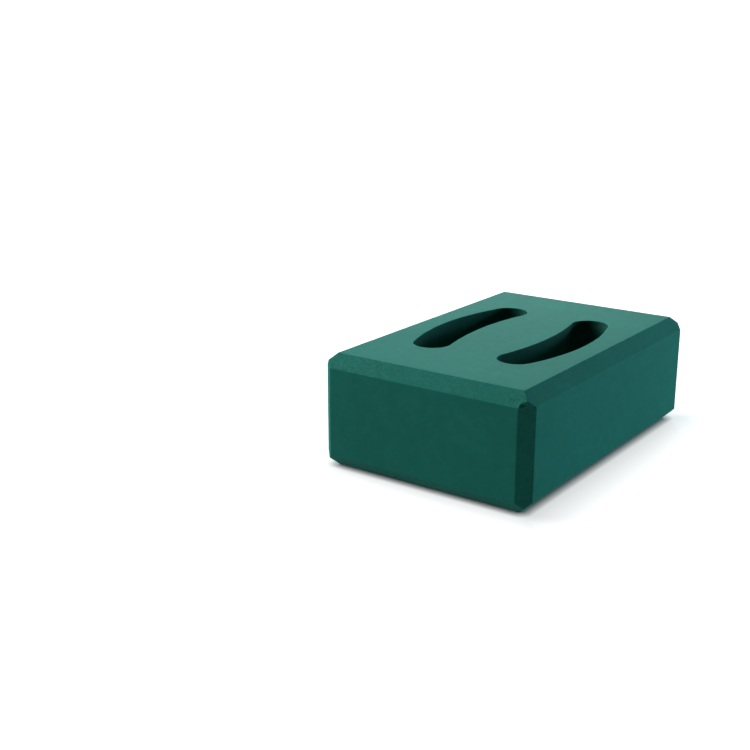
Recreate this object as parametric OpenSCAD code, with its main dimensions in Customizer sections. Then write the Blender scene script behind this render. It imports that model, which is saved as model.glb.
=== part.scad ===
// Foam support block with two curved grip slots, in millimetres.
// One piece of closed-cell foam: a chamfered slab that lies flat on its largest face.
// The origin is the centre of the bottom face. Z is up, Y is the long side, X the short side.

/* [Block] */
// Short side of the block, across X
block_w = 152.4; // [145:0.1:165]
// Long side of the block, along Y
block_l = 228.6; // [215:0.1:245]
// Height of the block, along Z
block_h = 76.2; // [50:0.1:102]

/* [Edges] */
// Chamfer round the top and bottom faces, measured along each face
rim_chamfer = 8.5; // [5:0.1:11]
// Chamfer on the four upright edges, measured along each face
corner_chamfer = 8; // [5:0.1:10]

/* [Grip slots] */
// Length of each slot from end to end, along Y
slot_l = 127; // [115:0.5:140]
// Width of each slot at the middle of its length
slot_w = 27.5; // [26:0.1:30]
// Radius of the round ends of each slot
slot_end_r = 12.4; // [11.5:0.05:12.9]
// Distance from the block's centre line to a slot's outer edge, at the middle of its length
slot_reach = 52.7; // [48:0.1:58]
// How far the ends of each slot curve in towards the block's centre line
slot_bow = 7.2; // [4:0.1:9]

/* [Hidden] */

// Teal green foam
foam_colour = [0.16, 0.44, 0.40];
// Smoothness of the arcs
arc_fn = 180;
// How far a cutting shape runs past the face that it cuts
overcut = 5;
// How much larger the round ends are drawn, so that they cross the long arcs cleanly
end_lap = 0.02;

// Half sizes of the block
half_w = block_w / 2;
half_l = block_l / 2;

// Centre of a slot's round end, for the slot on the +X side
end_x = slot_reach - slot_w / 2 - slot_bow;
end_y = slot_l / 2 - slot_end_r;

// Convex outer arc of a slot. It touches both round ends from outside,
// so its centre on the X axis is outer_r - slot_end_r away from the centre of each end.
outer_rise = slot_reach - end_x;
outer_r = (outer_rise * outer_rise + end_y * end_y - slot_end_r * slot_end_r)
    / (2 * (outer_rise - slot_end_r));
outer_centre_x = slot_reach - outer_r;

// Concave inner arc of a slot. It touches both round ends from the block's centre line,
// so its centre on the X axis is inner_r + slot_end_r away from the centre of each end.
inner_edge = slot_reach - slot_w;
inner_rise = end_x - inner_edge;
inner_r = (inner_rise * inner_rise + end_y * end_y - slot_end_r * slot_end_r)
    / (2 * (slot_end_r - inner_rise));
inner_centre_x = inner_edge - inner_r;

// A point on the line from a point on the X axis through the centre of a slot's +Y end
function past_end(from_x, distance) =
    let (run = end_x - from_x, reach = sqrt(run * run + end_y * end_y))
    [from_x + run * distance / reach, end_y * distance / reach];

// The same point, mirrored to the -Y end
function mirrored(p) = [p[0], -p[1]];

// Rectangle centred on the origin with its four corners cut at 45 degrees
module cut_rectangle(across, up, cut) {
    x = across / 2;
    y = up / 2;
    polygon([
        [x, y - cut], [x - cut, y], [cut - x, y], [-x, y - cut],
        [-x, cut - y], [cut - x, -y], [x - cut, -y], [x, cut - y]
    ]);
}

// Slab with 45 degree chamfers on all twelve edges.
// It is what three cut-cornered prisms share, one along each axis.
module chamfered_slab() {
    intersection() {
        linear_extrude(height = block_h)
            cut_rectangle(block_w, block_l, corner_chamfer);
        translate([0, half_l, block_h / 2])
            rotate([90, 0, 0])
            linear_extrude(height = block_l)
            cut_rectangle(block_w, block_h, rim_chamfer);
        translate([-half_w, 0, block_h / 2])
            rotate([90, 0, 90])
            linear_extrude(height = block_w)
            cut_rectangle(block_l, block_h, rim_chamfer);
    }
}

// Outline of the slot on the +X side: a band between the two long arcs, with a round end at each end
module slot_outline() {
    outer_corner = past_end(outer_centre_x, outer_r + overcut);
    inner_corner = past_end(inner_centre_x, inner_r - overcut);
    end_centre = [end_x, end_y];
    intersection() {
        difference() {
            translate([outer_centre_x, 0])
                circle(r = outer_r, $fn = arc_fn);
            translate([inner_centre_x, 0])
                circle(r = inner_r, $fn = arc_fn);
        }
        polygon([
            outer_corner, end_centre, inner_corner,
            mirrored(inner_corner), mirrored(end_centre), mirrored(outer_corner),
            [slot_reach + overcut, 0]
        ]);
    }
    for (side = [-1, 1])
        translate([end_x, side * end_y])
            circle(r = slot_end_r + end_lap, $fn = arc_fn);
}

// Cutter for the slot on the +X side, right through the block
module slot_cutter() {
    translate([0, 0, -overcut])
        linear_extrude(height = block_h + 2 * overcut)
        slot_outline();
}

// The block: the slab with a slot each side of its long centre line
module foam_block() {
    color(foam_colour)
        difference() {
            chamfered_slab();
            slot_cutter();
            mirror([1, 0, 0])
                slot_cutter();
        }
}

foam_block();
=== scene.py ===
"""The looks of a foam block with two curved grip slots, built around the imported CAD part.

Everything is in metres, in the row frame: Z up, Y along the block's long side, and the origin at the
middle of its bottom face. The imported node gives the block's size. The chamfers and slots repeat the
sizes of its CAD solid. The script builds that shape again as one dense mesh with rounded borders,
slightly uneven faces and a torn corner, and gives it a procedural foam material.
"""

import math

import bmesh
import bpy
import numpy as np
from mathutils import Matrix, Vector, noise
from mathutils.geometry import delaunay_2d_cdt


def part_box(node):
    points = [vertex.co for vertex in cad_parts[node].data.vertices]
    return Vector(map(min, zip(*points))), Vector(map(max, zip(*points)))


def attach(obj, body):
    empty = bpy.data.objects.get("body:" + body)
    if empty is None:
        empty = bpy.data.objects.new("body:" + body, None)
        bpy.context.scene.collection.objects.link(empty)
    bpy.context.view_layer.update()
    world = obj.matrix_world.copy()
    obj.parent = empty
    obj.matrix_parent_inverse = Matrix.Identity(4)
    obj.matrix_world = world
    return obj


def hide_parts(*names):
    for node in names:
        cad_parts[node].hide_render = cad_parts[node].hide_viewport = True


MM = 0.001

# Chamfers, measured along each face, as on the CAD solid
RIM_CHAMFER = 8.5 * MM
CORNER_CHAMFER = 8.0 * MM
# Radius that softens every border between a face and a chamfer
EDGE_RADIUS = 0.8 * MM

# Grip slots, as on the CAD solid
SLOT_LENGTH = 127.0 * MM
SLOT_WIDTH = 27.5 * MM
SLOT_END_RADIUS = 12.4 * MM
SLOT_REACH = 52.7 * MM
SLOT_BOW = 7.2 * MM
# Radius that softens the slots' rims, and the width of the painted highlight line round each rim
SLOT_RIM_RADIUS = 0.5 * MM
SLOT_RIM_HIGHLIGHT = 0.6 * MM
# Painted shade on a slot's wall: how dark it is under its rims and deep down, and the depth over which it
# changes
SLOT_RIM_SHADE = 0.42
SLOT_DEEP_SHADE = 0.75
SLOT_SHADE_DEPTH = 20 * MM

# Distance between mesh points on the broad faces, on the rim chamfers, round the slots and in the corners,
# and how far the loose points of a broad face keep from its border and its slots
FACE_STEP = 3.0 * MM
RIM_STEP = 0.4 * MM
SLOT_STEP = 1.5 * MM
CORNER_STEP = 0.45 * MM
LOOSE_MARGIN = 0.55 * FACE_STEP
# Distances of the close rows of mesh points from a border, and the rows that a broad face gets
CLOSE_ROWS = [d * MM for d in (0.0, 0.12, 0.24, 0.36, 0.6, 0.9, 1.2, 1.5, 1.8, 2.2, 2.6)]
FACE_ROWS = CLOSE_ROWS[1:5]
# Steps of the quarter circle down a slot's rim, the close rows below it, and the fewest points of an arc
RIM_TURNS = 4
WALL_ROWS = [0.0, 1.0 * MM]
ARC_POINTS = 4
# Points this near each other are one point, and an edge this short is closed up
SAME_ON_FACE = 0.0001 * MM
SAME_POINT = 0.02 * MM
CLOSED_EDGE = 0.01 * MM
# The triangulation's number for filling the whole outline with triangles
FILL_OUTLINE = 1
# How often each plane is visited while the borders are rounded
ROUNDING_SWEEPS = 40

# Unevenness of the surface, a wide one and a narrow one: how far it sinks, and over what distance
SWELL = 0.14 * MM
SWELL_LENGTH = 45 * MM
RIPPLE = 0.10 * MM
RIPPLE_LENGTH = 7 * MM

# How openly each surface was cut, from a smooth skin at 0 to a sawn face with open cells at 1
CUT_FACE = 0.12
CUT_END_RIM = 1.0
CUT_SIDE_RIM = 0.3
CUT_CORNER = 0.4
CUT_SLOT = 0.8

# The bite at the front top corner: how deep it goes, and where it starts and ends below the top face
BITE_DEPTH = 2.3 * MM
BITE_TOP = 5.2 * MM
BITE_BOTTOM = 8.6 * MM
# Its hollows, one below another and shallower further down, and the share of depth each loses at its edges
BITE_HOLLOWS = 3
BITE_EDGE = 0.55
# Distance over which it fades in from the chamfer's middle, and the width of the fringe round it that gets
# a painted highlight
BITE_FADE = 3.0 * MM
BITE_FRINGE = 0.5 * MM
# How ragged it is, and over what distance
BITE_RAGGED = 0.6
BITE_GRAIN = 0.9 * MM
# The way that the bitten chamfer faces, and the way to its left border
BITE_FACING = Vector((1, -1, 0)).normalized()
BITE_LEFT = Vector((-1, -1, 0)).normalized()

# Seeds of the random surfaces, and how each moves the noise along X, Y and Z
SWELL_SEED = 1
RIPPLE_SEED = 2
BITE_SEED = 5
SEED_SPREAD = (1, 1.7, 2.3)

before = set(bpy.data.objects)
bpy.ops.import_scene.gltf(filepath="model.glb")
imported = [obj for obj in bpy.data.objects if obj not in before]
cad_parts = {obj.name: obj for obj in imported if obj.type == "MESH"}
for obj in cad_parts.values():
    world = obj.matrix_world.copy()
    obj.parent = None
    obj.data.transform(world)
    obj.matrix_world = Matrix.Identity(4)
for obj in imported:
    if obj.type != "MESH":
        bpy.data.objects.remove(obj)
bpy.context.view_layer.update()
HALF_W, HALF_L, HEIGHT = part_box("foam_block")[1]


# ---------------------------------------------------------------- shape

def spaced(length, step, rows):
    """Distances along a straight run, with close rows at both ends and even steps between."""
    inner_length = length - 2 * rows[-1]
    count = max(1, round(inner_length / step))
    inner = [rows[-1] + inner_length * k / count for k in range(count + 1)]
    return rows[:-1] + inner + [length - r for r in reversed(rows[:-1])]


def shares(length, step):
    """The same distances as parts of the whole run."""
    return [d / length for d in spaced(length, step, CLOSE_ROWS)]


def level_outline(inset, columns):
    """The block's outline at a level where the rim chamfer has taken inset from every side.

    columns holds each point's share of the run, for a long side, an end and a corner. A corner run
    shrinks to a point where the rim chamfers meet above the upright chamfer."""
    x, y = HALF_W - inset, HALF_L - inset
    cut = max(0.0, CORNER_CHAMFER - 2 * inset)
    runs = [
        ((x, cut - y), (x, y - cut), "side"),
        ((x, y - cut), (x - cut, y), "corner"),
        ((x - cut, y), (cut - x, y), "end"),
        ((cut - x, y), (-x, y - cut), "corner"),
        ((-x, y - cut), (-x, cut - y), "side"),
        ((-x, cut - y), (cut - x, -y), "corner"),
        ((cut - x, -y), (x - cut, -y), "end"),
        ((x - cut, -y), (x, cut - y), "corner"),
    ]
    points, kinds = [], []
    for start, stop, kind in runs:
        for share in columns[kind][:-1]:
            points.append([start[k] + (stop[k] - start[k]) * share for k in (0, 1)])
            kinds.append(kind)
    return points, kinds


def block_levels():
    """(height, inset) of each row of mesh points from the bottom face up to the top face."""
    slope = math.sqrt(2) * RIM_CHAMFER
    rise = [d / math.sqrt(2) for d in spaced(slope, RIM_STEP, CLOSE_ROWS)]
    bottom = [(0.0, RIM_CHAMFER + d) for d in reversed(FACE_ROWS)]
    bottom += [(d, RIM_CHAMFER - d) for d in rise]
    wall = spaced(HEIGHT - 2 * RIM_CHAMFER, FACE_STEP, CLOSE_ROWS)
    upright = [(RIM_CHAMFER + d, 0.0) for d in wall[1:-1]]
    top = [(HEIGHT - height, inset) for height, inset in reversed(bottom)]
    return bottom + upright + top


def cut_share(kind, inset):
    """How openly the surface was cut at a point of the block's outside."""
    if inset >= RIM_CHAMFER:
        return CUT_FACE
    if kind == "corner":
        return CUT_CORNER
    if inset == 0:
        return CUT_FACE
    return CUT_END_RIM if kind == "end" else CUT_SIDE_RIM


def slot_arcs():
    """A slot's end centre and its two long arcs as (centre X, radius), for the slot on the +X side."""
    end = (SLOT_REACH - SLOT_WIDTH / 2 - SLOT_BOW, SLOT_LENGTH / 2 - SLOT_END_RADIUS)
    square = end[1] ** 2 - SLOT_END_RADIUS**2
    rise = SLOT_REACH - end[0]
    outer = (rise**2 + square) / (2 * (rise - SLOT_END_RADIUS))
    inner_edge = SLOT_REACH - SLOT_WIDTH
    rise = end[0] - inner_edge
    inner = (rise**2 + square) / (2 * (SLOT_END_RADIUS - rise))
    return end, (SLOT_REACH - outer, outer), (inner_edge - inner, inner)


def slot_outline(side):
    """Points round a slot, anticlockwise, each with the direction out of the foam: (x, y, to_x, to_y).

    side is 1 for the slot on the +X side and -1 for its mirror image."""
    end, (outer_x, outer_r), (inner_x, inner_r) = slot_arcs()
    lean_out = math.atan2(end[1], end[0] - outer_x)
    lean_in = math.atan2(end[1], end[0] - inner_x)

    def arc(centre, radius, start, stop, outwards):
        """Points of one arc. outwards is 1 if the foam lies on its centre's side, and -1 if not."""
        count = max(ARC_POINTS, round(abs(stop - start) * radius / SLOT_STEP))
        made = []
        for k in range(count):
            turn = start + (stop - start) * k / count
            across, along = math.cos(turn), math.sin(turn)
            point = (centre[0] + radius * across, centre[1] + radius * along)
            made.append((*point, outwards * across, outwards * along))
        return made

    outline = arc((outer_x, 0), outer_r, -lean_out, lean_out, -1)
    outline += arc(end, SLOT_END_RADIUS, lean_out, math.pi + lean_in, -1)
    outline += arc((inner_x, 0), inner_r, lean_in, -lean_in, 1)
    outline += arc((end[0], -end[1]), SLOT_END_RADIUS, math.pi - lean_in, 2 * math.pi - lean_out, -1)
    if side < 0:
        outline = [(-x, y, -to_x, to_y) for x, y, to_x, to_y in reversed(outline)]
    return outline


def slot_levels():
    """(height, grow, tilt, border) of each row down a slot, from the bottom face up to the top face.

    grow is how far the row lies outside the wall, tilt is its normal's angle above the level, and
    border is its share of the painted highlight line round the rim."""
    radius = SLOT_RIM_RADIUS
    turns = [math.pi / 2 * k / RIM_TURNS for k in range(RIM_TURNS + 1)]
    top = [(HEIGHT - radius * (1 - math.sin(a)), radius * (1 - math.cos(a)), a, math.sin(a)) for a in turns]
    top.append((HEIGHT, radius + SLOT_RIM_HIGHLIGHT, math.pi / 2, 0.0))
    bottom = [(HEIGHT - height, grow, -tilt, border) for height, grow, tilt, border in reversed(top)]
    middle = spaced(HEIGHT - 2 * radius, FACE_STEP, WALL_ROWS)
    return bottom + [(radius + d, 0.0, 0.0, 0.0) for d in middle[1:-1]] + top


def in_slot(x, y):
    """Whether a point of a broad face lies within a slot."""
    end, (outer_x, outer_r), (inner_x, inner_r) = slot_arcs()
    x, y = abs(x), abs(y)
    if math.hypot(x - end[0], y - end[1]) < SLOT_END_RADIUS:
        return True
    return y < end[1] and math.hypot(x - outer_x, y) < outer_r and math.hypot(x - inner_x, y) > inner_r


def within(points, outline):
    """Which points lie inside a closed outline, by the even-odd rule."""
    inside = np.zeros(len(points), bool)
    x, y = points[:, 0], points[:, 1]
    for (x0, y0), (x1, y1) in zip(outline, np.roll(outline, -1, axis=0), strict=True):
        crosses = (y0 > y) != (y1 > y)
        if y0 != y1:
            inside ^= crosses & (x < x0 + (y - y0) * (x1 - x0) / (y1 - y0))
    return inside


def face_points(border):
    """Loose points of an even triangular pattern, kept clear of the border and the slots' rims."""
    reach_x = HALF_W - RIM_CHAMFER - LOOSE_MARGIN
    reach_y = HALF_L - RIM_CHAMFER - LOOSE_MARGIN
    row_step = FACE_STEP * math.sqrt(3) / 2
    taken = np.array([tuple(p) for p in border])
    across = math.floor(reach_x / FACE_STEP)
    along = math.floor(reach_y / row_step)
    found = []
    for row in range(-along, along + 1):
        y = row * row_step
        for column in range(-across, across + 1):
            x = (column + (row % 2) / 2) * FACE_STEP
            if abs(x) >= reach_x or in_slot(x, y):
                continue
            if np.hypot(*(taken - (x, y)).T).min() > LOOSE_MARGIN:
                found.append(Vector((x, y)))
    return found


class Sheet:
    """Collects the block's mesh: its faces, and for each point its place and its surface's values.

    A point of a slot has its own normal. The others get theirs when the outer borders are rounded."""

    def __init__(self):
        self.points, self.faces, self.normals = [], [], []
        # border carries a painted highlight, and tone the painted shade on the slots' walls
        self.values = {"cut": [], "border": [], "tone": []}

    def add_point(self, point, cut, border=0.0, tone=1.0, normal=None):
        self.points.append(point)
        self.normals.append(normal)
        for name, value in (("cut", cut), ("border", border), ("tone", tone)):
            self.values[name].append(value)
        return len(self.points) - 1

    def join_rows(self, below, above, inwards=False):
        count = len(below)
        for k in range(count):
            ring = [below[k], below[(k + 1) % count], above[(k + 1) % count], above[k]]
            self.faces.append(ring[::-1] if inwards else ring)

    def fill_face(self, border, holes, height, upwards):
        """A broad face between its border row and the slots' outer rows, filled with even triangles."""
        loops = [border, *holes]
        flat = [Vector(self.points[i][:2]) for loop in loops for i in loop]
        ids = [i for loop in loops for i in loop]
        edges, first = [], 0
        for loop in loops:
            count = len(loop)
            edges += [(first + k, first + (k + 1) % count) for k in range(count)]
            first += count
        flat += face_points(flat)
        made = delaunay_2d_cdt(flat, edges, [], FILL_OUTLINE, SAME_ON_FACE)
        places, _, triangles, sources, _, _ = made
        index = []
        for place, source in zip(places, sources, strict=True):
            old = [i for i in source if i < len(ids)]
            index.append(ids[old[0]] if old else self.add_point((place.x, place.y, height), CUT_FACE))
        middles = np.array([[sum(places[i][k] for i in tri) / 3 for k in (0, 1)] for tri in triangles])
        hollow = np.zeros(len(triangles), bool)
        for hole in holes:
            hollow |= within(middles, np.array([self.points[i][:2] for i in hole]))
        for tri in (t for t, gone in zip(triangles, hollow, strict=True) if not gone):
            corners = [index[i] for i in tri]
            self.faces.append(corners if upwards else corners[::-1])


def build_sheet():
    """The whole block with sharp outer borders, as one closed sheet of mesh."""
    sheet = Sheet()
    columns = {
        "end": shares(2 * (HALF_W - CORNER_CHAMFER), FACE_STEP),
        "side": shares(2 * (HALF_L - CORNER_CHAMFER), FACE_STEP),
        "corner": shares(math.sqrt(2) * CORNER_CHAMFER, CORNER_STEP),
    }
    rows = []
    for height, inset in block_levels():
        row = []
        for (x, y), kind in zip(*level_outline(inset, columns), strict=True):
            row.append(sheet.add_point((x, y, height), cut_share(kind, inset)))
        rows.append(row)
    for below, above in zip(rows[:-1], rows[1:], strict=True):
        sheet.join_rows(below, above)

    slots = [add_slot(sheet, side) for side in (1, -1)]
    sheet.fill_face(rows[0], [walls[0] for walls in slots], 0.0, upwards=False)
    sheet.fill_face(rows[-1], [walls[-1] for walls in slots], HEIGHT, upwards=True)
    return sheet


def add_slot(sheet, side):
    """The wall and both rims of one slot. Returns its rows of point numbers."""
    walls = []
    for height, grow, tilt, border in slot_levels():
        # Painted shade on the wall: darkest under either rim, lighter deep down, fading out over the rims'
        # rounding
        deep = min(1.0, min(height, HEIGHT - height) / SLOT_SHADE_DEPTH)
        wall_shade = SLOT_RIM_SHADE + (SLOT_DEEP_SHADE - SLOT_RIM_SHADE) * deep
        tone = wall_shade + (1 - wall_shade) * abs(math.sin(tilt))
        cut = CUT_FACE if grow > SLOT_RIM_RADIUS else CUT_SLOT
        row = []
        for x, y, to_x, to_y in slot_outline(side):
            normal = (to_x * math.cos(tilt), to_y * math.cos(tilt), math.sin(tilt))
            place = (x - to_x * grow, y - to_y * grow, height)
            row.append(sheet.add_point(place, cut, border, tone, normal))
        walls.append(row)
    for below, above in zip(walls[:-1], walls[1:], strict=True):
        sheet.join_rows(below, above, inwards=True)
    return walls


def block_planes():
    """Outward normals of the block's eighteen outer faces, and each face's distance from the middle."""
    half = np.array([HALF_W, HALF_L, HEIGHT / 2])
    normals, reach = [], []
    for axis in range(3):
        for sign in (-1, 1):
            normal = np.zeros(3)
            normal[axis] = sign
            normals.append(normal)
            reach.append(half[axis])
    for first, second in ((0, 1), (0, 2), (1, 2)):
        cut = CORNER_CHAMFER if (first, second) == (0, 1) else RIM_CHAMFER
        for a in (-1, 1):
            for b in (-1, 1):
                normal = np.zeros(3)
                normal[first], normal[second] = a, b
                normals.append(normal / math.sqrt(2))
                reach.append((half[first] + half[second] - cut) / math.sqrt(2))
    return np.array(normals), np.array(reach)


def round_borders(points, radius):
    """Moves points of the sharp block onto the block with every outer border rounded to radius.

    Each point's nearest place on the block made smaller by radius is found by projecting onto
    one plane after another (Dykstra's method). The rounded surface lies radius outside it."""
    middle = np.array([0, 0, HEIGHT / 2])
    normals, reach = block_planes()
    reach = reach - radius
    start = points - middle
    nearest = start.copy()
    owed = np.zeros((len(normals), *points.shape))
    for _ in range(ROUNDING_SWEEPS):
        for k, normal in enumerate(normals):
            asked = nearest + owed[k]
            past = np.maximum(asked @ normal - reach[k], 0)
            nearest = asked - past[:, None] * normal
            owed[k] = asked - nearest
    out = start - nearest
    length = np.linalg.norm(out, axis=1, keepdims=True)
    normal = out / np.maximum(length, radius / 2)
    return middle + nearest + normal * radius, normal


def wander(place, length, seed):
    """A smooth random value from -1 to 1 that changes over the given distance."""
    return noise.noise(Vector(place) / length + Vector([seed * spread for spread in SEED_SPREAD]))


def sunk(place):
    """How far the uneven surface lies inside the even one."""
    swell = (1 + wander(place, SWELL_LENGTH, SWELL_SEED)) / 2
    ripple = (1 + wander(place, RIPPLE_LENGTH, RIPPLE_SEED)) / 2
    return SWELL * swell + RIPPLE * ripple


def bite_depth(place):
    """How far a point sticks out of the ragged bite in the left border of the front upright chamfer's top.

    It is negative for a point that the bite leaves where it is."""
    middle = Vector((HALF_W - CORNER_CHAMFER / 2, CORNER_CHAMFER / 2 - HALF_L, 0))
    share = (HEIGHT - place.z - BITE_TOP) / (BITE_BOTTOM - BITE_TOP)
    left = (place - middle).dot(BITE_LEFT)
    if not 0 < share < 1 or left < 0 or place.x < 0:
        return -math.inf
    off_middle = 2 * (share * BITE_HOLLOWS % 1) - 1
    profile = (1 - share) * (1 - BITE_EDGE * off_middle**2)
    ragged = 1 + BITE_RAGGED * wander((0, 0, place.z), BITE_GRAIN, BITE_SEED)
    return (place - middle).dot(BITE_FACING) + BITE_DEPTH * profile * ragged * min(1.0, left / BITE_FADE)


def finish_surface(sheet):
    """The points of the finished surface. Sets how near an outer border each one is, from 0 to 1, which
    sets its painted highlight.
    """
    sharp = np.array(sheet.points, float)
    rounded, normals = round_borders(sharp, EDGE_RADIUS)
    # A point on a border between two planes at 45 degrees moves in by this much
    full = EDGE_RADIUS * (1 / math.cos(math.pi / 8) - 1)
    moved = np.clip(np.linalg.norm(rounded - sharp, axis=1) / full, 0, 1)
    finished = []
    for k, place in enumerate(sharp):
        normal = sheet.normals[k]
        if normal is None:
            place, normal = rounded[k], normals[k]
            sheet.values["border"][k] = moved[k]
        place = Vector(place)
        place -= Vector(normal) * sunk(place)
        # A point in the bite moves in, and one in its fringe gets the full painted highlight
        bitten = bite_depth(place)
        if bitten > 0:
            place -= BITE_FACING * bitten
        elif bitten > -BITE_FRINGE:
            sheet.values["border"][k] = 1.0
        finished.append(place)
    return finished


def make_block():
    """The visible block: one mesh object that carries the values of its surface."""
    sheet = build_sheet()
    points = finish_surface(sheet)
    mesh = bpy.data.meshes.new("foam_block_skin")
    mesh.from_pydata([tuple(p) for p in points], [], sheet.faces)
    for name, values in sheet.values.items():
        layer = mesh.attributes.new(name, "FLOAT", "POINT")
        layer.data.foreach_set("value", np.array(values, np.float32))
    work = bmesh.new()
    work.from_mesh(mesh)
    bmesh.ops.remove_doubles(work, verts=work.verts, dist=SAME_POINT)
    bmesh.ops.dissolve_degenerate(work, edges=work.edges, dist=CLOSED_EDGE)
    bmesh.ops.recalc_face_normals(work, faces=work.faces)
    work.to_mesh(mesh)
    work.free()
    mesh.shade_smooth()
    block = bpy.data.objects.new("foam_block_skin", mesh)
    bpy.context.scene.collection.objects.link(block)
    return block


# ---------------------------------------------------------------- material

# The foam's colour, the light edges of its open cells, and how it reflects
FOAM = (0.0113, 0.143, 0.114, 1)
OPEN_CELLS = (1, 1, 1, 1)
IOR = 1.42
SHEEN = 0.04
# The noises that vary the foam's tone, wear and relief: size, detail and roughness
PATCHES = (55 * MM, 3, 0.55)
MOTTLE = (7 * MM, 5, 0.6)
BLOTCHES = (2.8 * MM, 3, 0.6)
GRAIN = (1.1 * MM, 4, 0.7)
WEAR = (26 * MM, 3, 0.55)
# Size of the cells, and distance between the small pits
CELL_SIZE = 1.25 * MM
PIT_SPACING = 9 * MM
# Ranges that hold most of a noise's values: a wide one for soft changes, a narrow one for strong ones
SOFT = (0.3, 0.7)
STRONG = (0.36, 0.66)
# How much the tone varies everywhere
PATCH_TONE = (0.95, 1.05)
MOTTLE_TONE = (0.95, 1.05)
GRAIN_TONE = (-0.03, 0.03)
# How much it varies more on a surface that was cut
WEAR_SHARE = (0.3, 1.0)
GRAIN_SPECKLE = (-0.2, 0.2)
BLOTCH_SPECKLE = (-0.12, 0.14)
OPEN_CELL_SHARE = (0.001, 0.017)
# How much lighter the borders, the slots' rim lines and the bite's fringe are: a painted highlight
BORDER_HIGHLIGHT = 0.35
# Small pits: from their rim to their middle, the cut that they need, and their tone, a painted shade that
# darkens their middle
PIT_RADIUS = (0.09, 0.05)
PIT_CUT = (0.15, 0.35)
PIT_SHADE = (1.0, 0.7)
# Relief of the cells on a smooth skin and what a cut adds to it
CELL_RELIEF = 0.35
SKIN_RELIEF = 0.2
CUT_RELIEF = 0.8
BUMP_STRENGTH = 0.6
BUMP_HEIGHT = 0.25 * MM
# Range of the roughness, and what a cut adds to it
ROUGHNESS = (0.66, 0.74)
CUT_ROUGHNESS = 0.12
NONE_TO_FULL = (0.0, 1.0)


class Nodes:
    """Short names for making and linking shader nodes."""

    def __init__(self, owner):
        owner.use_nodes = True
        self.tree = owner.node_tree
        self.tree.nodes.clear()

    def add(self, kind, settings=(), **sockets):
        """A new node. Each socket takes a value, or the output that it is linked to."""
        node = self.tree.nodes.new(kind)
        for name, value in dict(settings).items():
            setattr(node, name, value)
        for name, value in sockets.items():
            self.feed(node.inputs[name.replace("_", " ")], value)
        return node

    def feed(self, socket, value):
        if isinstance(value, bpy.types.NodeSocket):
            self.tree.links.new(value, socket)
        else:
            socket.default_value = value

    def surface_value(self, name):
        """A value that the mesh carries."""
        return self.add("ShaderNodeAttribute", {"attribute_name": name}).outputs["Fac"]

    def maths(self, operation, a, b):
        node = self.add("ShaderNodeMath", {"operation": operation})
        self.feed(node.inputs[0], a)
        self.feed(node.inputs[1], b)
        return node.outputs[0]

    def blend(self, mode, factor, first, second):
        """Two colours put together."""
        node = self.add("ShaderNodeMix", {"data_type": "RGBA", "blend_type": mode}, Factor=factor)
        colours = [socket for socket in node.inputs if socket.type == "RGBA"]
        self.feed(colours[0], first)
        self.feed(colours[1], second)
        return next(socket for socket in node.outputs if socket.type == "RGBA")

    def ranged(self, source, taken, given):
        """The source's range moved to another one, and held inside it."""
        node = self.add(
            "ShaderNodeMapRange",
            Value=source, From_Min=taken[0], From_Max=taken[1], To_Min=given[0], To_Max=given[1],
        )
        return node.outputs["Result"]

    def cloud(self, place, size, detail, roughness):
        """Smooth noise with features of about the given size."""
        node = self.add(
            "ShaderNodeTexNoise", Vector=place, Scale=1 / size, Detail=detail, Roughness=roughness
        )
        return node.outputs["Fac"]


def foam_tone_and_painted_light(make, place, grain, worn, pitted):
    """The foam's lightness: soft patches everywhere and speckle where it was cut, with a painted highlight
    on the borders and painted shade in the pits and on the slots' walls.
    """
    border, surface = make.surface_value("border"), make.surface_value("tone")
    mottle = make.cloud(place, *MOTTLE)
    patches = make.cloud(place, *PATCHES)
    blotches = make.cloud(place, *BLOTCHES)
    tone = make.ranged(mottle, SOFT, MOTTLE_TONE)
    tone = make.maths("MULTIPLY", tone, make.ranged(patches, SOFT, PATCH_TONE))
    tone = make.maths("ADD", tone, make.ranged(grain, SOFT, GRAIN_TONE))
    speckle = make.ranged(grain, STRONG, GRAIN_SPECKLE)
    speckle = make.maths("ADD", speckle, make.ranged(blotches, STRONG, BLOTCH_SPECKLE))
    tone = make.maths("ADD", tone, make.maths("MULTIPLY", worn, speckle))
    # Painted highlight on the borders
    tone = make.maths("ADD", tone, make.maths("MULTIPLY", border, BORDER_HIGHLIGHT))
    # Painted shade in the pits
    tone = make.maths("MULTIPLY", tone, make.ranged(pitted, NONE_TO_FULL, PIT_SHADE))
    # Painted shade on the slots' walls
    return make.maths("MULTIPLY", tone, surface)


def foam_relief(make, place, grain, worn, pitted):
    """The bump of the foam's cells and pits, stronger where it was cut."""
    cells = make.add("ShaderNodeTexVoronoi", Vector=place, Scale=1 / CELL_SIZE)
    height = make.maths("MULTIPLY", cells.outputs["Distance"], CELL_RELIEF)
    height = make.maths("ADD", height, grain)
    strength = make.maths("ADD", make.maths("MULTIPLY", worn, CUT_RELIEF), SKIN_RELIEF)
    height = make.maths("MULTIPLY", height, strength)
    height = make.maths("SUBTRACT", height, pitted)
    bump = make.add("ShaderNodeBump", Height=height, Strength=BUMP_STRENGTH, Distance=BUMP_HEIGHT)
    return bump.outputs["Normal"]


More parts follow.
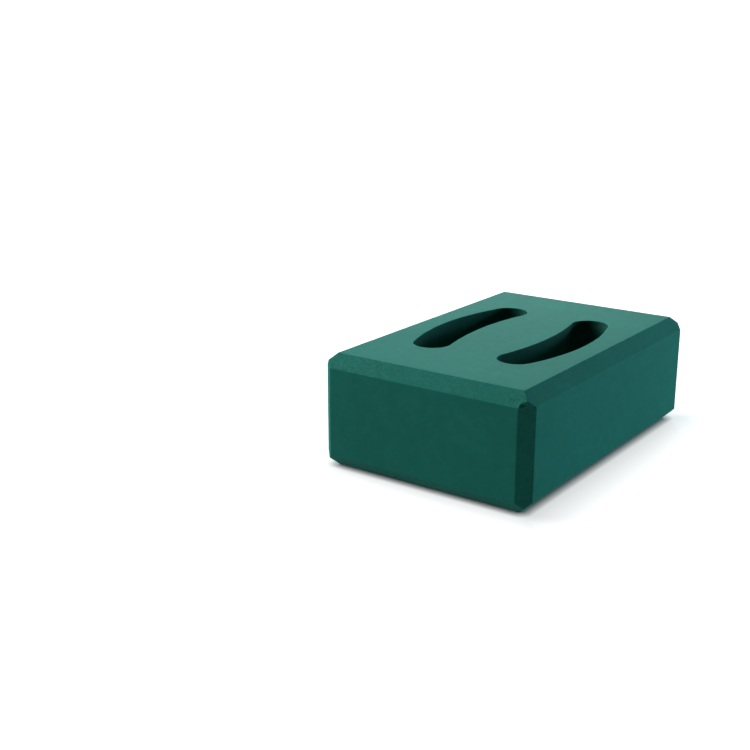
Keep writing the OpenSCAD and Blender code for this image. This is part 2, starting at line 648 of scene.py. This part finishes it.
def foam_material():
    """Matte closed-cell foam: fine grain everywhere, and open cells and pits where it was cut."""
    material = bpy.data.materials.new("foam")
    make = Nodes(material)
    place = make.add("ShaderNodeTexCoord").outputs["Object"]
    cut = make.surface_value("cut")
    grain = make.cloud(place, *GRAIN)
    wear = make.cloud(place, *WEAR)
    worn = make.maths("MULTIPLY", cut, make.ranged(wear, STRONG, WEAR_SHARE))
    pits = make.add("ShaderNodeTexVoronoi", Vector=place, Scale=1 / PIT_SPACING)
    pitted = make.maths(
        "MULTIPLY",
        make.ranged(pits.outputs["Distance"], PIT_RADIUS, NONE_TO_FULL),
        make.ranged(cut, PIT_CUT, NONE_TO_FULL),
    )

    tone = foam_tone_and_painted_light(make, place, grain, worn, pitted)
    grey = make.add("ShaderNodeCombineColor", Red=tone, Green=tone, Blue=tone).outputs["Color"]
    colour = make.blend("MULTIPLY", 1.0, FOAM, grey)
    open_cells = make.maths("MULTIPLY", worn, make.ranged(grain, STRONG, OPEN_CELL_SHARE))
    colour = make.blend("MIX", open_cells, colour, OPEN_CELLS)

    rough = make.ranged(grain, SOFT, ROUGHNESS)
    rough = make.maths("ADD", rough, make.maths("MULTIPLY", worn, CUT_ROUGHNESS))
    shader = make.add(
        "ShaderNodeBsdfPrincipled",
        Base_Color=colour, Roughness=rough, Normal=foam_relief(make, place, grain, worn, pitted),
        IOR=IOR, Specular_IOR_Level=SHEEN,
    )
    make.add("ShaderNodeOutputMaterial", Surface=shader.outputs[0])
    return material


# ---------------------------------------------------------------- stage

# The camera: its place, its turn and pitch in degrees, its lens and sensor in millimetres, and the
# nearest and farthest that it sees
CAMERA_PLACE = (0.3780, -0.6806, 0.2849)
CAMERA_TURN = 35.93
CAMERA_PITCH = 17.12
CAMERA_LENS = 56.86
SENSOR = 36.0
CLIP = (0.01, 50)

# Half the floor's width, and its matt colour
FLOOR_HALF = 6.0
FLOOR_MATT = (0.26, 0.30, 0.31, 1)
# Within this distance a painted contact shadow darkens the floor: its glow grows with how open the floor
# lies
SHADE_REACH = 6 * MM
SHADE_OPEN = (0.15, 0.9)
BESIDE_GLOW = (0.0, 0.67)
# What the floor's glow gains between these distances from the block's flat bottom face, where a painted
# soft shadow fades out
FADE_REACH = (RIM_CHAMFER, 38 * MM)
FADE_GLOW = (0.0, 0.37)
# From the bottom face's outline inwards the glow falls to a small share, a painted shade under the block
# and in its slots
UNDER_REACH = (-1 * MM, 0.0)
UNDER_GLOW = (0.12, 1.0)
# The light that the floor throws up at the block
BOUNCE_GLOW = 0.344
BOUNCE_MATT = (0.2, 0.2, 0.2, 1)
# The surroundings' strength as a light, and as seen by the camera
WORLD_STRENGTH = (0.01, 1.1)
WHITE = (1, 1, 1, 1)

# Each light's name, its turn from straight behind the block towards the camera's right and its height
# above the floor in degrees, its distance, width and height in metres, its power in watts and its colour
LIGHTS = [
    ("left", -71, 28, 1.6, 1.3, 0.8, 30.5, (1.12, 1, 0.98)),
    ("left_high", -60, 55, 1.6, 0.9, 0.9, 12, (1.0, 1, 1)),
    ("back", 20, 28, 1.6, 0.9, 0.8, 14.5, (0.85, 1, 1)),
    ("back_low", 0, 8, 1.2, 0.6, 0.3, 6, (0.85, 1, 1)),
    ("right", 76, 8, 1.2, 0.6, 0.3, 9.8, (0.68, 1, 1.15)),
]


def add_camera():
    """The camera, turned from +Y towards -X and tipped down."""
    data = bpy.data.cameras.new("camera")
    data.sensor_width = SENSOR
    data.lens = CAMERA_LENS
    data.clip_start, data.clip_end = CLIP
    camera = bpy.data.objects.new("camera", data)
    camera.location = CAMERA_PLACE
    camera.rotation_euler = (math.radians(90 - CAMERA_PITCH), 0, math.radians(CAMERA_TURN))
    bpy.context.scene.collection.objects.link(camera)
    bpy.context.scene.camera = camera


def past_face(make, place):
    """How far a place on the floor lies outside the block's flat bottom face. It is negative under it."""
    parts = make.add("ShaderNodeSeparateXYZ", Vector=place).outputs
    past_x = make.maths("SUBTRACT", make.maths("ABSOLUTE", parts["X"], 0), HALF_W - RIM_CHAMFER)
    past_y = make.maths("SUBTRACT", make.maths("ABSOLUTE", parts["Y"], 0), HALF_L - RIM_CHAMFER)
    return make.maths("MAXIMUM", past_x, past_y)


def glowing(make, strength, colour):
    """A matt surface of the given colour that also gives off white light."""
    both = make.add("ShaderNodeAddShader")
    glow = make.add("ShaderNodeEmission", Color=WHITE, Strength=strength)
    matt = make.add("ShaderNodeBsdfDiffuse", Color=colour)
    make.feed(both.inputs[0], glow.outputs[0])
    make.feed(both.inputs[1], matt.outputs[0])
    return both.outputs[0]


def floor_material():
    """White to the camera, with a painted tight shadow under the block, and a soft light to the block."""
    material = bpy.data.materials.new("floor")
    make = Nodes(material)
    past = past_face(make, make.add("ShaderNodeTexCoord").outputs["Object"])
    openness = make.add("ShaderNodeAmbientOcclusion", Distance=SHADE_REACH).outputs["AO"]
    white = make.ranged(openness, SHADE_OPEN, BESIDE_GLOW)
    white = make.maths("ADD", white, make.ranged(past, FADE_REACH, FADE_GLOW))
    white = make.maths("MULTIPLY", white, make.ranged(past, UNDER_REACH, UNDER_GLOW))
    shown = glowing(make, white, FLOOR_MATT)
    clear = make.maths("GREATER_THAN", past, 0)
    lit = glowing(make, make.maths("MULTIPLY", clear, BOUNCE_GLOW), BOUNCE_MATT)
    mix = make.add("ShaderNodeMixShader")
    seen = make.add("ShaderNodeLightPath").outputs["Is Camera Ray"]
    for socket, value in zip(mix.inputs, (seen, lit, shown), strict=True):
        make.feed(socket, value)
    make.add("ShaderNodeOutputMaterial", Surface=mix.outputs[0])
    return material


def add_floor():
    """A plain white floor under the block."""
    corners = [(x * FLOOR_HALF, y * FLOOR_HALF, 0) for x, y in ((-1, -1), (1, -1), (1, 1), (-1, 1))]
    mesh = bpy.data.meshes.new("floor")
    mesh.from_pydata(corners, [], [(0, 1, 2, 3)])
    mesh.materials.append(floor_material())
    floor = bpy.data.objects.new("floor", mesh)
    bpy.context.scene.collection.objects.link(floor)


def add_light(name, turn, rise, distance, width, height, power, colour):
    """A flat soft light that faces the block."""
    data = bpy.data.lights.new(name, "AREA")
    data.shape = "RECTANGLE"
    data.size, data.size_y = width, height
    data.energy = power
    data.color = colour
    light = bpy.data.objects.new(name, data)
    heading = math.radians(90 + CAMERA_TURN - turn)
    level = math.cos(math.radians(rise))
    direction = Vector((math.cos(heading) * level, math.sin(heading) * level, math.sin(math.radians(rise))))
    light.location = Vector((0, 0, HEIGHT / 2)) + direction * distance
    light.rotation_mode = "QUATERNION"
    light.rotation_quaternion = direction.to_track_quat("Z", "Y")
    bpy.context.scene.collection.objects.link(light)


def add_world():
    """White surroundings for the camera, dimmer as a source of light."""
    world = bpy.data.worlds.new("world")
    bpy.context.scene.world = world
    make = Nodes(world)
    seen = make.add("ShaderNodeLightPath").outputs["Is Camera Ray"]
    strength = make.ranged(seen, NONE_TO_FULL, WORLD_STRENGTH)
    back = make.add("ShaderNodeBackground", Color=WHITE, Strength=strength)
    make.add("ShaderNodeOutputWorld", Surface=back.outputs[0])


add_camera()
add_floor()
add_world()
for light in LIGHTS:
    add_light(*light)
bpy.context.scene.view_settings.view_transform = "Standard"

block = make_block()
block.data.materials.append(foam_material())
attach(block, "root")
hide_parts("foam_block")
